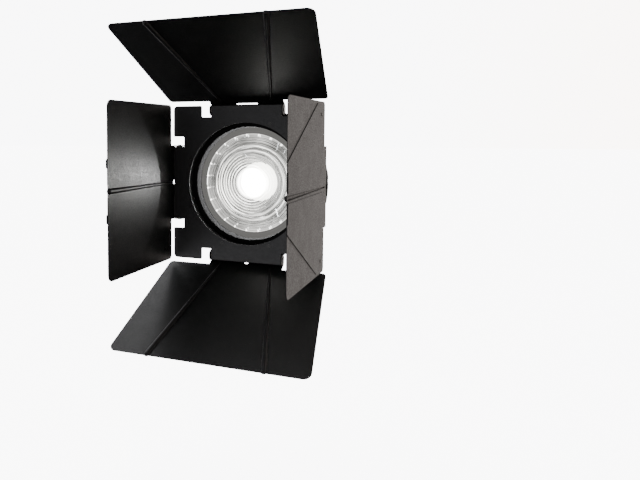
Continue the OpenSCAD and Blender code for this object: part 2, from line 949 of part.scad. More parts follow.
module wing_rivets() {
    for (s = [-1, 1])
        translate([s * wing_z, -wing_t, 0]) {
            translate([0, 0, leaf_e - 1])
                cylinder(r = 2, h = 4.4, $fn = 32);
            translate([0, 0, leaf_e - 1.1])
                cylinder(r = 3.6, h = 1.08, $fn = 32);
            translate([0, 0, wing_e + wing_sheet + 0.05])
                cylinder(r = 3.6, h = 1.1, $fn = 32);
            translate([0, 0, leaf_e + sheet_t + 0.02])
                cylinder(r = 5, h = 0.36, $fn = 32);
        }
}

module left_wing_rivets() {
    color(leaf_black)
    on_hinge(270, 0)
        wing_rivets();
}

module right_wing_rivets() {
    color(leaf_black)
    on_hinge(90, 0)
        wing_rivets();
}

module left_upper_wing() {
    color(leaf_black)
    on_hinge(270, 0)
        wing();
}

module left_lower_wing() {
    color(leaf_black)
    on_hinge(270, 0)
        mirror([1, 0, 0])
            wing();
}

module right_upper_wing() {
    color(leaf_black)
    on_hinge(90, 0)
        mirror([1, 0, 0])
            wing();
}

module right_lower_wing() {
    color(leaf_black)
    on_hinge(90, 0)
        wing();
}

// ---------- pieces ----------

front_ring();
lens_gasket();
fresnel_lens();
lens_retainer();
lens_cell_screws();
barrel();
claws();
claw_screws();
latch_base();
latch_spring();
rear_cover();
rear_cover_screws();
bayonet_ring();
bayonet_screws();
zoom_drum();
cam_sleeve();
glide_rings();
drum_screws();
lens_carriage();
condenser_lens();
condenser_retainer();
cam_rollers();
roller_pins();
latch_claw();
latch_pull();
latch_pull_screws();
door_plate();
door_ring();
ring_rivets();
hinge_pins();
friction_washers();
top_leaf();
bottom_leaf();
left_leaf();
right_leaf();
left_wing_rivets();
right_wing_rivets();
left_upper_wing();
left_lower_wing();
right_upper_wing();
right_lower_wing();
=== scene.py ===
# %% [markdown]
# # A fresnel lens head with barn doors
# The head clips to a lamp by a bayonet at its back. A stepped front lens and a
# condenser on a sliding carriage shape the beam, a fluted drum turns to move
# the carriage, and four sheet-metal doors on a turning ring cut the beam.
# The rigid parts arrive already built and jointed. This lesson gives each of
# them its finish, rebuilds the two pieces that plain solids can't give, the
# lens and the springs, and lights the whole as a lit lamp in a white studio.

# %% load the frame
import math

import bpy
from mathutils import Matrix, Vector


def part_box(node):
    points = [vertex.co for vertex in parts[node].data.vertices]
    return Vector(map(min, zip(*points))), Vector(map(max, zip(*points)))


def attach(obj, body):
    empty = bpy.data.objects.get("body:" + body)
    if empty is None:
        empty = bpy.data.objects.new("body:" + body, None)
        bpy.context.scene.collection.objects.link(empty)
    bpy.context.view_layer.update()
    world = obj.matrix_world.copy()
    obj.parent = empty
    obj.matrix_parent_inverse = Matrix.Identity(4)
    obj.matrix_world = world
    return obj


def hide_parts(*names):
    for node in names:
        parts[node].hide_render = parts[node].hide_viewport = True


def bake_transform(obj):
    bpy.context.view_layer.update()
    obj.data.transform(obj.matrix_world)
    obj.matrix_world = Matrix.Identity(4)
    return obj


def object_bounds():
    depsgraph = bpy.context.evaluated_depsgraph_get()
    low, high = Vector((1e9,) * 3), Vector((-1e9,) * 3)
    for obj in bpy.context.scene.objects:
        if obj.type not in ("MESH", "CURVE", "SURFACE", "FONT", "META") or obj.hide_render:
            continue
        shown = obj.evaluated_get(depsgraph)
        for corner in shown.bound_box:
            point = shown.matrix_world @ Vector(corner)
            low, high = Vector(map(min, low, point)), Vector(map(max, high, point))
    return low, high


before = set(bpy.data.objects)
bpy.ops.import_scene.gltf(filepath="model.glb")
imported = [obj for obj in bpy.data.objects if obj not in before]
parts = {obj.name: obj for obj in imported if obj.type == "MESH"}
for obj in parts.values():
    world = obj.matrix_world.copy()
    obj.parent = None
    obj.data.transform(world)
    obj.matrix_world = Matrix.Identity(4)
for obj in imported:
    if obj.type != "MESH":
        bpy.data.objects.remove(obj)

cad_low, cad_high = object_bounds()
MM = 0.001
print("object box", [round(v, 3) for v in cad_low], [round(v, 3) for v in cad_high])

# %% [markdown]
# ## The camera
# The head is seen from its right, a little above its axis and looking slightly
# down, with the doors' free edges towards us. The lens shift stands for the
# head lying left of the frame's middle: a real camera would be cropped so.
# A tracking constraint could aim the camera, but a place, two angles and a
# shift say the same thing and stay exact.

# %% the camera
camera = bpy.data.objects.new("camera", bpy.data.cameras.new("camera"))
bpy.context.scene.collection.objects.link(camera)
camera.location = (0.4910, -1.5763, 0.1091)
TURN, TILT = math.radians(23.7), math.radians(3.6)
camera.rotation_euler = (math.radians(90) - TILT, 0, TURN)
camera.data.lens = 36.56
camera.data.sensor_width = 36
camera.data.shift_x = 0.189
camera.data.shift_y = -0.099
camera.data.clip_end = 50
bpy.context.scene.camera = camera
print("camera at", [round(v, 3) for v in camera.location])

# %% [markdown]
# ## Helpers for finishes
# Colours are written as sRGB hex, as paint makers give them, and one function
# makes them linear. One small function adds a node with its settings and its
# links, so a finish reads as a list of what feeds what. A colour ramp's stops
# are settings too, so the same function takes them.

# %% colour and node helpers
def linear(code, alpha=1.0):
    """An sRGB hex colour as linear red, green, blue and alpha."""
    channels = [int(code[i:i + 2], 16) / 255 for i in (1, 3, 5)]
    return [c / 12.92 if c <= 0.04045 else ((c + 0.055) / 1.055) ** 2.4
            for c in channels] + [alpha]


def add(tree, kind, links=None, stops=None, **settings):
    """A new node: settings are its own values, links its inputs' values or sources,
    and stops a colour ramp's (position, hex code or grey level) pairs."""
    made = tree.nodes.new("ShaderNode" + kind)
    for name, value in settings.items():
        setattr(made, name, value)
    for name, value in (links or {}).items():
        if isinstance(value, bpy.types.NodeSocket):
            tree.links.new(value, made.inputs[name])
        else:
            made.inputs[name].default_value = value
    for k, (at, colour) in enumerate(stops or ()):
        bar = made.color_ramp.elements
        stop = bar[k] if k < len(bar) else bar.new(at)
        stop.position = at
        stop.color = linear(colour) if isinstance(colour, str) else [colour] * 3 + [1]
    return made


def new_finish(name, **shader):
    """A material with one Principled shader, its tree and its object coordinates."""
    material = bpy.data.materials.new(name)
    material.use_nodes = True
    tree = material.node_tree
    tree.nodes.clear()
    surface = add(tree, "BsdfPrincipled",
                  {key.replace("_", " "): value for key, value in shader.items()})
    add(tree, "OutputMaterial", {"Surface": surface.outputs["BSDF"]})
    place = add(tree, "TexCoord").outputs["Object"]
    return material, tree, surface, place


def dress(material, *names):
    """Gives the named parts this finish all over."""
    for name in names:
        parts[name].data.materials.clear()
        parts[name].data.materials.append(material)
    print(material.name, "on", ", ".join(names))


# %% [markdown]
# ## Sprayed and baked coatings
# The doors are aluminium sheet with a fine black texture coat. Sprayed powder
# melts into a skin that is nearly flat but pebbled at about half a millimetre,
# so it looks matt straight on and turns grey at a low angle. On the doors the
# pebbles are drawn at 2 to 3 mm, because the real ones are too fine to show.
# Three noises make the coat: the pebbles as bump and gloss, a slow change of
# gloss where the coat is thicker, and a little pale dust. The bare edge is
# where a folded door rubs, and the bevelled normal finds the edges, because a
# flat sheet has too few corners for any other way. Painted grain on an image
# would stretch over the beads, and noise in object space doesn't.

# %% black coatings
def coating(name, colour, worn, grain, depth, roughness, ior, wear):
    """A black powder coat: grain is the pebble size in mm and depth its height in mm."""
    material, tree, surface, place = new_finish(name, IOR=ior)
    pebbles = add(tree, "TexNoise", {"Vector": place, "Scale": 1 / (grain * MM),
                                     "Detail": 2.0, "Roughness": 0.55})
    cloud = add(tree, "TexNoise", {"Vector": place, "Scale": 40.0, "Detail": 5.0})
    dust = add(tree, "TexNoise", {"Vector": place, "Scale": 420.0, "Detail": 1.0})
    bump = add(tree, "Bump", {"Height": pebbles.outputs["Fac"], "Strength": 0.4,
                              "Distance": depth * MM})
    edge = add(tree, "Bevel", {"Radius": 0.0008}, samples=4)
    true = add(tree, "NewGeometry").outputs["Normal"]
    turned = add(tree, "VectorMath", {0: edge.outputs["Normal"], 1: true},
                 operation="DOT_PRODUCT")
    rub = add(tree, "MapRange", {"Value": turned.outputs["Value"], "From Min": 0.97,
                                 "From Max": 0.80, "To Max": wear})
    broken = add(tree, "Math", {0: rub.outputs["Result"],
                                1: add(tree, "ValToRGB", {"Fac": cloud.outputs["Fac"]},
                                       stops=[(0.42, 0.0), (0.60, 1.0)]).outputs["Color"]},
                 operation="MULTIPLY")
    specks = add(tree, "ValToRGB", {"Fac": dust.outputs["Fac"]},
                 stops=[(0.66, 0.0), (0.74, 0.22)]).outputs["Color"]
    pale = add(tree, "Mix", {"Factor": specks, "A": linear(colour), "B": linear("#3a3936")},
               data_type="RGBA")
    skin = add(tree, "Mix", {"Factor": broken.outputs["Value"],
                             "A": pale.outputs["Result"], "B": linear(worn)},
               data_type="RGBA")
    gloss = add(tree, "MapRange", {"Value": cloud.outputs["Fac"], "From Min": 0.3,
                                   "From Max": 0.7, "To Min": roughness - 0.02,
                                   "To Max": roughness + 0.03})
    # the tops of the pebbles are smoother than the hollows between them
    tops = add(tree, "MapRange", {"Value": pebbles.outputs["Fac"], "From Min": 0.35,
                                  "From Max": 0.65, "To Min": 0.09, "To Max": -0.09})
    gloss = add(tree, "Math", {0: gloss.outputs["Result"], 1: tops.outputs["Result"]},
                operation="ADD")
    tree.links.new(skin.outputs["Result"], surface.inputs["Base Color"])
    tree.links.new(gloss.outputs["Value"], surface.inputs["Roughness"])
    tree.links.new(bump.outputs["Normal"], surface.inputs["Normal"])
    return material


# aluminium sheet with a baked texture coat: near black, pebbled, silky at a low angle
door_coat = coating("texture_coated_sheet", "#101011", "#4a4947",
                    grain=2.8, depth=0.34, roughness=0.42, ior=1.29, wear=0.7)
dress(door_coat, "top_leaf", "bottom_leaf", "left_leaf", "right_leaf", "left_upper_wing",
      "left_lower_wing", "right_upper_wing", "right_lower_wing")
# the same coat on the plate, which the doors don't rub: a little glossier, and greyer as painted
# light, a lighter copy of the door coat that stands for light from low in front
plate_coat_painted_lighter = coating("texture_coated_plate", "#1e1e21", "#4a4947",
                     grain=2.2, depth=0.20, roughness=0.45, ior=1.45, wear=0.7)
dress(plate_coat_painted_lighter, "door_plate")
# the turning ring is sprayed dead flat, so that it throws no light back into the beam
flat_coat = coating("flat_black_ring", "#0b0b0c", "#3a3937",
                    grain=0.7, depth=0.05, roughness=0.75, ior=1.25, wear=0.4)
dress(flat_coat, "door_ring")
# die-cast aluminium with a thicker powder coat: the orange peel shows as soft lumps
cast_coat = coating("powder_coated_casting", "#161617", "#5d5c5a",
                    grain=1.6, depth=0.09, roughness=0.45, ior=1.48, wear=1.0)
dress(cast_coat, "claws", "latch_base", "latch_claw")
# blackened rivets: smoother than the sheet, so they catch a small highlight
rivet_coat = coating("blackened_rivets", "#141415", "#55534f",
                     grain=0.5, depth=0.02, roughness=0.34, ior=1.48, wear=1.0)
dress(rivet_coat, "ring_rivets", "left_wing_rivets", "right_wing_rivets")

# %% [markdown]
# ## Moulded plastic
# The drum, the front ring and the rear cover are glass-filled nylon from a
# spark-eroded tool. The tool leaves even pits about 0.3 mm apart. They are
# drawn at 0.7 mm, because the real ones are too fine to show. Handling
# polishes the crests of the drum's flutes, so the gloss rises there, which a
# measure of how far a point stands from the axis gives.

# %% black mouldings
def moulding(name, colour, roughness, grain, crest=None):
    """Spark-eroded plastic: grain in mm, crest as the radius in mm that hands polish."""
    material, tree, surface, place = new_finish(name, IOR=1.53)
    pits = add(tree, "TexVoronoi", {"Vector": place, "Scale": 1 / (grain * MM),
                                    "Randomness": 1.0}, feature="SMOOTH_F1")
    tone = add(tree, "TexNoise", {"Vector": place, "Scale": 30.0, "Detail": 4.0})
    bump = add(tree, "Bump", {"Height": pits.outputs["Distance"], "Strength": 0.45,
                              "Distance": 0.06 * MM})
    shade = add(tree, "ValToRGB", {"Fac": tone.outputs["Fac"]},
                stops=[(0.3, colour), (0.75, "#242426")]).outputs["Color"]
    gloss = add(tree, "MapRange", {"Value": tone.outputs["Fac"], "From Min": 0.3,
                                   "From Max": 0.7, "To Min": roughness - 0.04,
                                   "To Max": roughness + 0.05}).outputs["Result"]
    if crest:
        flat = add(tree, "VectorMath", {0: place, 1: (1, 0, 1)}, operation="MULTIPLY")
        away = add(tree, "VectorMath", {0: flat.outputs["Vector"]}, operation="LENGTH")
        rubbed = add(tree, "MapRange", {"Value": away.outputs["Value"],
                                        "From Min": (crest - 0.5) * MM,
                                        "From Max": crest * MM, "To Max": 0.10})
        gloss = add(tree, "Math", {0: gloss, 1: rubbed.outputs["Result"]},
                    operation="SUBTRACT").outputs["Value"]
    tree.links.new(shade, surface.inputs["Base Color"])
    tree.links.new(gloss, surface.inputs["Roughness"])
    tree.links.new(bump.outputs["Normal"], surface.inputs["Normal"])
    return material


# glass-filled nylon, moulded: charcoal with an even fine grain
ring_plastic = moulding("moulded_nylon", "#18181a", roughness=0.46, grain=0.7)
dress(ring_plastic, "front_ring", "rear_cover", "latch_pull")
# the same nylon where hands turn it: the crests shine a little
drum_plastic = moulding("handled_nylon", "#19191b", roughness=0.48, grain=0.7, crest=147.5)
dress(drum_plastic, "zoom_drum")

# %% [markdown]
# ## Turned metal
# The barrel, the carriage and the retaining rings are turned from aluminium
# and black anodised. The cam sleeve and the bayonet are turned and left bare.
# A lathe tool leaves fine rings about the axis, one for each turn. A wave
# along the distance from the axis plus the place along it draws them on
# faces and on cylinders alike.

# %% turned finishes
def turned(name, colour, dark, roughness, pitch, depth, metallic=1.0):
    """Lathe-turned metal: pitch is the spacing of the tool marks in mm, depth their height."""
    material, tree, surface, place = new_finish(name, Metallic=metallic)
    flat = add(tree, "VectorMath", {0: place, 1: (1, 0, 1)}, operation="MULTIPLY")
    away = add(tree, "VectorMath", {0: flat.outputs["Vector"]}, operation="LENGTH")
    along = add(tree, "SeparateXYZ", {"Vector": place})
    path = add(tree, "Math", {0: away.outputs["Value"], 1: along.outputs["Y"]},
               operation="ADD")
    wobble = add(tree, "TexNoise", {"Vector": place, "Scale": 60.0, "Detail": 3.0})
    phase = add(tree, "Math", {0: path.outputs["Value"], 1: math.tau / (pitch * MM),
                               2: wobble.outputs["Fac"]}, operation="MULTIPLY_ADD")
    marks = add(tree, "Math", {0: phase.outputs["Value"]}, operation="SINE")
    bump = add(tree, "Bump", {"Height": marks.outputs["Value"], "Strength": 0.3,
                              "Distance": depth * MM})
    shade = add(tree, "ValToRGB", {"Fac": wobble.outputs["Fac"]},
                stops=[(0.35, dark), (0.68, colour)]).outputs["Color"]
    gloss = add(tree, "MapRange", {"Value": wobble.outputs["Fac"], "From Min": 0.3,
                                   "From Max": 0.7, "To Min": roughness - 0.05,
                                   "To Max": roughness + 0.07})
    tree.links.new(shade, surface.inputs["Base Color"])
    tree.links.new(gloss.outputs["Result"], surface.inputs["Roughness"])
    tree.links.new(bump.outputs["Normal"], surface.inputs["Normal"])
    return material


# black anodised aluminium: the metal's glints survive under the dye
black_anodise = turned("black_anodised_aluminium", "#1d1d20", "#121214",
                       roughness=0.38, pitch=0.8, depth=0.02, metallic=0.85)
dress(black_anodise, "barrel", "lens_retainer", "lens_carriage", "condenser_retainer")
# bare turned aluminium: pale, with rings of tool marks that stretch the highlights
bare_turned = turned("turned_aluminium", "#cfd0d1", "#b4b5b8",
                     roughness=0.28, pitch=0.9, depth=0.02)
dress(bare_turned, "cam_sleeve", "bayonet_ring")
# turned brass bushes: warm yellow with slight tarnish in the darker tone
turned_brass = turned("turned_brass", "#d9b46a", "#a9853f",
                      roughness=0.26, pitch=0.5, depth=0.01)
dress(turned_brass, "cam_rollers")

# %% [markdown]
# ## Plated steel, nylon and rubber
# Screws and pins are zinc plated: bright, a touch blue, with a cloudy film
# from the plating bath. The glide rings and hinge washers are natural nylon,
# an ivory plastic that light soaks into. The lens sits on a black silicone
# seal, matt and slightly dusty.

# %% small finishes
# zinc-plated steel: silvery with patches of straw and blue
zinc_plate, tree, surface, place = new_finish("zinc_plated_steel", Metallic=1.0)
film = add(tree, "TexNoise", {"Vector": place, "Scale": 160.0, "Detail": 4.0})
tree.links.new(add(tree, "ValToRGB", {"Fac": film.outputs["Fac"]},
                   stops=[(0.30, "#aeb4bc"), (0.52, "#c6c8ca"),
                          (0.72, "#c9c3b2")]).outputs["Color"],
               surface.inputs["Base Color"])
tree.links.new(add(tree, "MapRange", {"Value": film.outputs["Fac"], "To Min": 0.2,
                                      "To Max": 0.45}).outputs["Result"],
               surface.inputs["Roughness"])
dress(zinc_plate, "lens_cell_screws", "claw_screws", "rear_cover_screws",
      "bayonet_screws", "drum_screws", "latch_pull_screws", "roller_pins", "hinge_pins")

# natural nylon, machined: ivory, waxy, with light bleeding under the skin
natural_nylon, tree, surface, place = new_finish(
    "natural_nylon", IOR=1.53, Roughness=0.42, Subsurface_Weight=0.15,
    Subsurface_Scale=0.002)
streak = add(tree, "TexNoise", {"Vector": place, "Scale": 90.0, "Detail": 3.0})
tree.links.new(add(tree, "ValToRGB", {"Fac": streak.outputs["Fac"]},
                   stops=[(0.3, "#ddd8c8"), (0.7, "#ece8dc")]).outputs["Color"],
               surface.inputs["Base Color"])
wax = add(tree, "Bump", {"Height": streak.outputs["Fac"], "Strength": 0.2,
                         "Distance": 0.05 * MM})
tree.links.new(wax.outputs["Normal"], surface.inputs["Normal"])
dress(natural_nylon, "glide_rings", "friction_washers")

# black silicone, moulded: very matt, with a bloom of pale dust
silicone, tree, surface, place = new_finish("black_silicone", IOR=1.41, Roughness=0.75)
bloom = add(tree, "TexNoise", {"Vector": place, "Scale": 500.0, "Detail": 4.0})
tree.links.new(add(tree, "ValToRGB", {"Fac": bloom.outputs["Fac"]},
                   stops=[(0.45, "#151516"), (0.8, "#2c2b29")]).outputs["Color"],
               surface.inputs["Base Color"])
dress(silicone, "lens_gasket")

# %% [markdown]
# ## The stepped lens
# A fresnel lens is a thick lens with its bulk cut away in rings. Each ring
# keeps its share of the curve and steps back at its edge. It is pressed from
# borosilicate glass, so the steps are slightly rounded, and a row of small
# pips round the rim marks where it left the mould. A profile turned about the
# axis gives it, all but the pips, with enough points on each step for the
# rounding to show.

# %% the lens profile
GLASS_T = 6.5 * MM                                     # thickness at the edge
EDGE_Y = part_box("fresnel_lens")[1].y - GLASS_T         # where the edge's front face is
LENS_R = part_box("fresnel_lens")[1].x
FACE_R = LENS_R - 6.0 * MM                             # outer edge of the last step
CENTRE_R = 17 * MM                                     # edge of the smooth middle
BULGE = 12 * MM                                        # how far the middle stands ahead
STEPS = 18


def lens_curve(r):
    """How far forward the lens's overall curve stands at a distance from the axis."""
    return EDGE_Y - BULGE * (1 - (r / (FACE_R + 3 * MM)) ** 2)


def lens_profile():
    """Points (r, y) from the middle of the front face out to the rim and back."""
    line = [(CENTRE_R * k / 8, lens_curve(0) - 1.6 * MM + 3.0 * MM * (k / 8) ** 2)
            for k in range(9)]
    rings = [CENTRE_R + (FACE_R - CENTRE_R) * i / (STEPS - 1) for i in range(STEPS)]
    for inner, outer in zip(rings, rings[1:]):
        top = lens_curve(inner) - 0.95 * MM
        foot = lens_curve(outer) - 0.6 * MM + 0.022 * inner
        wide = outer - inner
        line += [(inner + 0.20 * MM, top - 0.02 * MM), (inner + 0.45 * MM, top - 0.10 * MM)]
        for k in range(1, 6):
            part = k / 6
            line.append((inner + wide * part, top + (foot - top) * part ** 1.15))
        line.append((outer - 0.15 * MM, foot - 0.05 * MM))
    line += [(FACE_R + 0.4 * MM, EDGE_Y), (LENS_R - 0.6 * MM, EDGE_Y),
             (LENS_R, EDGE_Y + 0.6 * MM), (LENS_R, EDGE_Y + GLASS_T - 0.6 * MM),
             (LENS_R - 0.6 * MM, EDGE_Y + GLASS_T), (0, EDGE_Y + GLASS_T)]
    return line


# %% turn the lens
def spin(name, line, turns=180):
    """A closed body turned about the Y axis from (r, y) points that start and end on it."""
    points, faces, rows = [], [], []
    for r, y in line:
        if r < 1e-7:
            rows.append([len(points)])
            points.append((0, y, 0))
        else:
            rows.append(list(range(len(points), len(points) + turns)))
            points += [(r * math.sin(math.tau * k / turns), y,
                        r * math.cos(math.tau * k / turns)) for k in range(turns)]
    for a, b in zip(rows, rows[1:]):
        for k in range(turns):
            n = (k + 1) % turns
            if len(a) == 1:
                faces.append((a[0], b[k], b[n]))
            elif len(b) == 1:
                faces.append((a[k], b[0], a[n]))
            else:
                faces.append((a[k], b[k], b[n], a[n]))
    mesh = bpy.data.meshes.new(name)
    mesh.from_pydata(points, [], faces)
    mesh.update()
    made = bpy.data.objects.new(name, mesh)
    bpy.context.scene.collection.objects.link(made)
    return made


lens = spin("stepped_lens", lens_profile())
for face in lens.data.polygons:
    face.use_smooth = True
lens.data.set_sharp_from_angle(angle=math.radians(30))
print("lens faces", len(lens.data.polygons))

# %% [markdown]
# ## Lit glass
# When the lamp is on, light fills the glass. Each ring glows where it throws
# light our way, bright over the condenser and greyer towards the rim, and the
# pressed surface adds faint streaks round the axis. Real refraction carries
# the lamp's image; the added glow stands for the light that scatters inside
# the glass, which would take far too many samples to find. The glow follows
# the distance from the axis as a share of the lens's radius, called reach.

# %% lens glass
# pressed borosilicate glass, lit from behind: clear, with glowing rings. Real glass
# bends light by 1.47. The steps here are coarser than real ones, so 1.22 gives the
# lamp the size that it shows through finer steps.
GLOW = 1.7              # strength of the whole glow
CORE_GLOW = 5.0         # of the middle, over the lamp
GREY_GLOW = 0.095       # of the frosted edge
FLARE_GLOW = 3.0        # of the small flares
RIM_GLOW = 0.35         # of the bright line round the steps
FLARES = 24
lens_glass, tree, surface, place = new_finish(
    "lit_pressed_glass", IOR=1.22, Transmission_Weight=1.0)
axes = add(tree, "SeparateXYZ", {"Vector": place})
flat = add(tree, "VectorMath", {0: place, 1: (1, 0, 1)}, operation="MULTIPLY")
away = add(tree, "VectorMath", {0: flat.outputs["Vector"]}, operation="LENGTH")
ripple = add(tree, "TexNoise", {"Vector": place, "Scale": 22.0, "Detail": 2.0})
bent = add(tree, "Math", {0: ripple.outputs["Fac"], 1: 0.008, 2: away.outputs["Value"]},
           operation="MULTIPLY_ADD")
# the true steps, one band for each
step = add(tree, "Math", {0: bent.outputs["Value"], 1: (FACE_R - CENTRE_R) / (STEPS - 1)},
           operation="DIVIDE")
saw = add(tree, "Math", {0: step.outputs["Value"]}, operation="FRACT")
fine = add(tree, "ValToRGB", {"Fac": saw.outputs["Value"]},
           stops=[(0.0, 1.5), (0.15, 0.30), (0.45, 0.60), (0.85, 0.25),
                  (1.0, 1.4)]).outputs["Color"]
# uneven wider rings, where several steps catch the same part of the lamp
loose = add(tree, "TexNoise", {"W": bent.outputs["Value"], "Scale": 170.0, "Detail": 3.0,
                               "Roughness": 0.65}, noise_dimensions="1D")
wide = add(tree, "ValToRGB", {"Fac": loose.outputs["Fac"]},
           stops=[(0.36, 0.25), (0.50, 0.70), (0.58, 1.1), (0.66, 3.0)]).outputs["Color"]
bands = add(tree, "Math", {0: fine, 1: wide}, operation="MULTIPLY")
# the pressed rings are never quite true, so their light comes and goes along them
cast = add(tree, "TexNoise", {"Vector": place, "Scale": 16.0, "Detail": 2.0})
uneven = add(tree, "MapRange", {"Value": cast.outputs["Fac"], "From Min": 0.35,
                                "From Max": 0.65, "To Min": 0.45, "To Max": 1.6})
bands = add(tree, "Math", {0: bands.outputs["Value"], 1: uneven.outputs["Result"]},
            operation="MULTIPLY").outputs["Value"]
reach = add(tree, "MapRange", {"Value": away.outputs["Value"], "From Max": LENS_R})
fall = add(tree, "ValToRGB", {"Fac": reach.outputs["Result"]},
           stops=[(0.0, 0.9), (0.30, 0.8), (0.52, 0.55), (0.70, 0.40), (0.862, 0.34),
                  (0.872, 0.0)]).outputs["Color"]
# outside the steps' image of the lamp, the glass only glows grey
grey = add(tree, "ValToRGB", {"Fac": reach.outputs["Result"]},
           stops=[(0.862, 0.0), (0.872, 1.0)]).outputs["Color"]
# small flares round the lamp's image, one for each rib of its reflector
turn = add(tree, "Math", {0: axes.outputs["X"], 1: axes.outputs["Z"]}, operation="ARCTAN2")
share = add(tree, "Math", {0: turn.outputs["Value"], 1: FLARES / math.tau}, operation="MULTIPLY")
part = add(tree, "Math", {0: share.outputs["Value"]}, operation="FRACT")
peak = add(tree, "ValToRGB", {"Fac": part.outputs["Value"]},
           stops=[(0.42, 0.0), (0.5, 1.0), (0.58, 0.0)]).outputs["Color"]
belt = add(tree, "ValToRGB", {"Fac": reach.outputs["Result"]},
           stops=[(0.815, 0.0), (0.84, 1.0), (0.855, 1.0), (0.865, 0.0)]).outputs["Color"]
flare = add(tree, "Math", {0: peak, 1: belt}, operation="MULTIPLY")
rim = add(tree, "ValToRGB", {"Fac": reach.outputs["Result"]},
          stops=[(0.845, 0.0), (0.856, 1.0), (0.862, 1.0), (0.868, 0.0)]).outputs["Color"]
glow = add(tree, "Math", {0: bands, 1: fall}, operation="MULTIPLY")
glow = add(tree, "Math", {0: grey, 1: GREY_GLOW, 2: glow.outputs["Value"]},
           operation="MULTIPLY_ADD")
glow = add(tree, "Math", {0: flare.outputs["Value"], 1: FLARE_GLOW, 2: glow.outputs["Value"]},
           operation="MULTIPLY_ADD")
glow = add(tree, "Math", {0: rim, 1: RIM_GLOW, 2: glow.outputs["Value"]},
           operation="MULTIPLY_ADD")
# the middle steps show the lamp itself
core = add(tree, "ValToRGB", {"Fac": reach.outputs["Result"]},
           stops=[(0.255, 1.0), (0.268, 0.0)]).outputs["Color"]
glow = add(tree, "Math", {0: core, 1: CORE_GLOW, 2: glow.outputs["Value"]},
           operation="MULTIPLY_ADD")
strength = add(tree, "Math", {0: glow.outputs["Value"], 1: GLOW}, operation="MULTIPLY")
surface.inputs["Emission Color"].default_value = linear("#fffdf8")
tree.links.new(strength.outputs["Value"], surface.inputs["Emission Strength"])
stipple = add(tree, "TexNoise", {"Vector": place, "Scale": 900.0, "Detail": 2.0})
skin = add(tree, "Bump", {"Height": stipple.outputs["Fac"], "Strength": 0.25,
                          "Distance": 0.05 * MM})
tree.links.new(skin.outputs["Normal"], surface.inputs["Normal"])
surface.inputs["Roughness"].default_value = 0.06
# the frosted edge: greyed glass that nothing shows through
clear = add(tree, "Math", {0: 1.0, 1: grey}, operation="SUBTRACT")
tree.links.new(clear.outputs["Value"], surface.inputs["Transmission Weight"])
glass = add(tree, "Mix", {"Factor": grey, "A": linear("#c0c3c3"), "B": linear("#1c1c1d")},
            data_type="RGBA")
tree.links.new(glass.outputs["Result"], surface.inputs["Base Color"])
lens.data.materials.append(lens_glass)
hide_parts("fresnel_lens")
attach(lens, "head")
lens.visible_diffuse = False

# %% condenser glass
# the condenser right in front of the lamp: so full of light that it reads white
lit_glass, tree, surface, place = new_finish(
    "lit_condenser_glass", IOR=1.52, Roughness=0.08)
flat = add(tree, "VectorMath", {0: place, 1: (1, 0, 1)}, operation="MULTIPLY")
away = add(tree, "VectorMath", {0: flat.outputs["Vector"]}, operation="LENGTH")
CONDENSER_R = 52 * MM
# painted glow: the condenser's emission stands for the lamp's light that fills it, brightest in
# the middle
CONDENSER_GLOW = 14.0        # bright enough to burn out to white
core = add(tree, "MapRange", {"Value": away.outputs["Value"], "From Max": CONDENSER_R})
glow_falloff = add(tree, "ValToRGB", {"Fac": core.outputs["Result"]},
           stops=[(0.0, 1.0), (0.70, 0.8), (1.0, 0.6)]).outputs["Color"]
power = add(tree, "Math", {0: glow_falloff, 1: CONDENSER_GLOW}, operation="MULTIPLY")
surface.inputs["Base Color"].default_value = linear("#f2f4f4")
surface.inputs["Emission Color"].default_value = linear("#fffaf0")
tree.links.new(power.outputs["Value"], surface.inputs["Emission Strength"])
dress(lit_glass, "condenser_lens")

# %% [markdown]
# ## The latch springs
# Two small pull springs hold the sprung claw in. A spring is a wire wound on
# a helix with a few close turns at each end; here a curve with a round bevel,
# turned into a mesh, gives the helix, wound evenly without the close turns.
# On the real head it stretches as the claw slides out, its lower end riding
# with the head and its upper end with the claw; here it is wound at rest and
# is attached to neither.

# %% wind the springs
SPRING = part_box("latch_spring")
out = Vector((math.sqrt(0.5), 0, math.sqrt(0.5)))
side = Vector((math.sqrt(0.5), 0, -math.sqrt(0.5)))
ahead = Vector((0, 1, 0))
low_r, high_r = 154.05 * MM, 171.95 * MM    # where a spring's two ends are hooked
WIRE_R, COIL_R = 0.4 * MM, 2.2 * MM
SPRING_SIDE = 13.5 * MM                     # each spring's distance from the claw's middle
COILS, POINTS = 11, 18                      # turns, and points for each turn
spring_y = (SPRING[0].y + SPRING[1].y) / 2
springs = []
for hand in (-1, 1):
    wire = bpy.data.curves.new(f"spring_wire_{hand}", "CURVE")
    wire.dimensions = "3D"
    wire.bevel_depth = WIRE_R
    wire.bevel_resolution = 3
    wire.use_fill_caps = True
    line = wire.splines.new("POLY")
    line.points.add(COILS * POINTS)
    for k in range(COILS * POINTS + 1):
        t = k / (COILS * POINTS)
        angle = math.tau * COILS * t
        climb = WIRE_R + (high_r - low_r - 2 * WIRE_R) * t
        spot = (out * (low_r + climb)
                + side * (hand * SPRING_SIDE + COIL_R * math.cos(angle))
                + ahead * (spring_y + COIL_R * math.sin(angle)))
        line.points[k].co = (*spot, 1)
    coil = bpy.data.objects.new(f"spring_wire_{hand}", wire)
    bpy.context.scene.collection.objects.link(coil)
    bpy.context.view_layer.update()
    mesh = bpy.data.meshes.new_from_object(coil.evaluated_get(
        bpy.context.evaluated_depsgraph_get()))
    bpy.data.objects.remove(coil)
    made = bpy.data.objects.new("latch_spring_left" if hand < 0 else "latch_spring_right", mesh)
    bpy.context.scene.collection.objects.link(made)
    mesh.materials.clear()
    mesh.materials.append(zinc_plate)
    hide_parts("latch_spring")
    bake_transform(made)
    springs.append(made)
print("springs", [len(s.data.polygons) for s in springs])

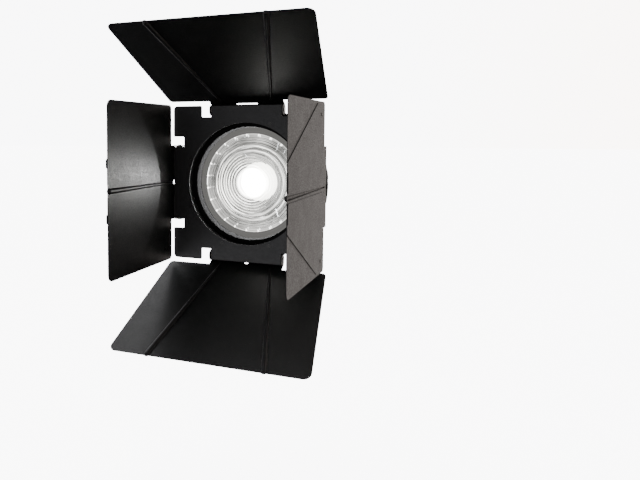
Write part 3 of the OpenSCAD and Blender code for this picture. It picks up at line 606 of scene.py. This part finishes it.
# %% [markdown]
# ## The studio
# The head is shown alone in a white room: a pale floor, a bright wall of
# light behind and above, and little light from the front, so the black faces
# turned to us stay black and the ones seen at a low angle pick up grey. An
# image of a studio could light it, but a world made of four soft gradients
# says where each light comes from, and each can be turned up by itself.

# %% floor
FLOOR_GLOW = 8.0        # the paper is overlit, so that it burns out to white
floor_mesh = bpy.data.meshes.new("floor")
# low enough for the bottom door to swing fully down above it
FLOOR_Z, FLOOR_HALF = cad_low.z - 0.30, 40.0
floor_mesh.from_pydata([(-FLOOR_HALF, -FLOOR_HALF, FLOOR_Z), (FLOOR_HALF, -FLOOR_HALF, FLOOR_Z),
                        (FLOOR_HALF, FLOOR_HALF, FLOOR_Z), (-FLOOR_HALF, FLOOR_HALF, FLOOR_Z)],
                       [], [(0, 1, 2, 3)])
floor = bpy.data.objects.new("floor", floor_mesh)
bpy.context.scene.collection.objects.link(floor)
paper, tree, surface, place = new_finish("studio_paper", Roughness=0.8, IOR=1.3)
mottle = add(tree, "TexNoise", {"Vector": place, "Scale": 4.0, "Detail": 3.0})
tree.links.new(add(tree, "ValToRGB", {"Fac": mottle.outputs["Fac"]},
                   stops=[(0.3, "#f4f4f3"), (0.7, "#f8f8f7")]).outputs["Color"],
               surface.inputs["Base Color"])
surface.inputs["Emission Color"].default_value = linear("#fdfdff")
surface.inputs["Emission Strength"].default_value = FLOOR_GLOW
floor.data.materials.append(paper)
floor.visible_glossy = False
floor.visible_diffuse = False

# %% room light
world = bpy.data.worlds.new("white_room")
bpy.context.scene.world = world
world.use_nodes = True
tree = world.node_tree
tree.nodes.clear()
WALL_GLOW = 9.0         # the wall as seen
look = add(tree, "SeparateXYZ", {"Vector": add(tree, "TexCoord").outputs["Generated"]})
front = add(tree, "MapRange", {"Value": look.outputs["Z"], "From Min": 0.10,
                               "From Max": -0.25, "To Min": 0.50, "To Max": 1.9})
back = add(tree, "MapRange", {"Value": look.outputs["Y"], "From Min": -0.55, "From Max": 0.35,
                              "To Min": front.outputs["Result"], "To Max": 2.7},
           interpolation_type="SMOOTHSTEP")
below = add(tree, "MapRange", {"Value": look.outputs["Z"], "From Min": -0.65,
                               "From Max": -0.35, "To Min": 0.01, "To Max": 1.0},
            interpolation_type="SMOOTHSTEP")
level = add(tree, "Math", {0: back.outputs["Result"], 1: below.outputs["Result"]},
            operation="MULTIPLY")
side = add(tree, "MapRange", {"Value": look.outputs["X"], "From Min": -0.10, "From Max": 0.22})
shaded = add(tree, "ValToRGB", {"Fac": add(tree, "MapRange", {
    "Value": look.outputs["X"], "From Min": -0.2, "From Max": 1.0}).outputs["Result"]},
             stops=[(0.08, 1.0), (0.35, 0.39), (0.60, 0.55), (0.95, 1.0)]).outputs["Color"]
level = add(tree, "Math", {0: level.outputs["Value"], 1: shaded}, operation="MULTIPLY")
# the wall straight behind is burnt out to white, but lights the head no more for that
seen = add(tree, "LightPath").outputs["Is Camera Ray"]
level = add(tree, "Mix", {"Factor": seen, "A": level.outputs["Value"], "B": WALL_GLOW},
            data_type="FLOAT")
warm = add(tree, "Mix", {"Factor": side.outputs["Result"], "A": linear("#fdfdff"),
                         "B": linear("#fff5ee")}, data_type="RGBA")
sky = add(tree, "Background", {"Color": warm.outputs["Result"],
                               "Strength": level.outputs["Result"]})
add(tree, "OutputWorld", {"Surface": sky.outputs["Background"]})

# one big soft box overhead
lamp = bpy.data.lights.new("overhead", "AREA")
lamp.shape, lamp.size, lamp.energy = "SQUARE", 1.8, 30
overhead = bpy.data.objects.new("overhead", lamp)
bpy.context.scene.collection.objects.link(overhead)
overhead.location = (-0.8, -0.2, 2.4)
aim = Vector((0, -0.3, 0)) - overhead.location
overhead.rotation_euler = aim.to_track_quat("-Z", "Y").to_euler()
overhead.visible_camera = False
print("room lit")

# %% [markdown]
# ## The beam
# The lamp behind the bayonet throws a cone that the plate's round hole cuts
# off sharply, so the inside of a straight door is lit as far as a curve and
# black beyond it. A spot light stands at the lamp's place on the axis. Only
# the plate, the ring and the doors shade it, because the glass in its way
# would only bend it, and only they receive it. Light traced through the real
# glass would find the same cone, but would need thousands of samples.

# %% beam light
shades = bpy.data.collections.new("cut_the_beam")
lit = bpy.data.collections.new("lit_by_the_beam")
for name in ("top_leaf", "bottom_leaf", "left_leaf", "right_leaf", "left_upper_wing",
             "left_lower_wing", "right_upper_wing", "right_lower_wing",
             "door_plate", "door_ring"):
    shades.objects.link(parts[name])
    lit.objects.link(parts[name])
spot = bpy.data.lights.new("lamp_beam", "SPOT")
spot.energy = 2.6
spot.spot_size = math.radians(80)
spot.spot_blend = 0.6
spot.shadow_soft_size = 0.004
beam = bpy.data.objects.new("lamp_beam", spot)
bpy.context.scene.collection.objects.link(beam)
beam.location = (0, 0.020, 0)
beam.rotation_euler = (math.radians(90), 0, math.radians(180))
beam.light_linking.blocker_collection = shades
beam.light_linking.receiver_collection = lit

# light that the glass throws sideways onto the dished front ring
spill = bpy.data.lights.new("lens_spill", "AREA")
spill.shape, spill.size, spill.energy = "DISK", 0.10, 0.85
glow = bpy.data.objects.new("lens_spill", spill)
bpy.context.scene.collection.objects.link(glow)
glow.location = (0, -0.215, 0)
glow.rotation_euler = (math.radians(90), 0, 0)
glow.visible_camera = False
dish = bpy.data.collections.new("lit_by_the_spill")
dish.objects.link(parts["front_ring"])
glow.light_linking.receiver_collection = dish
glow.light_linking.blocker_collection = dish
print("beam from", [round(v, 3) for v in beam.location])
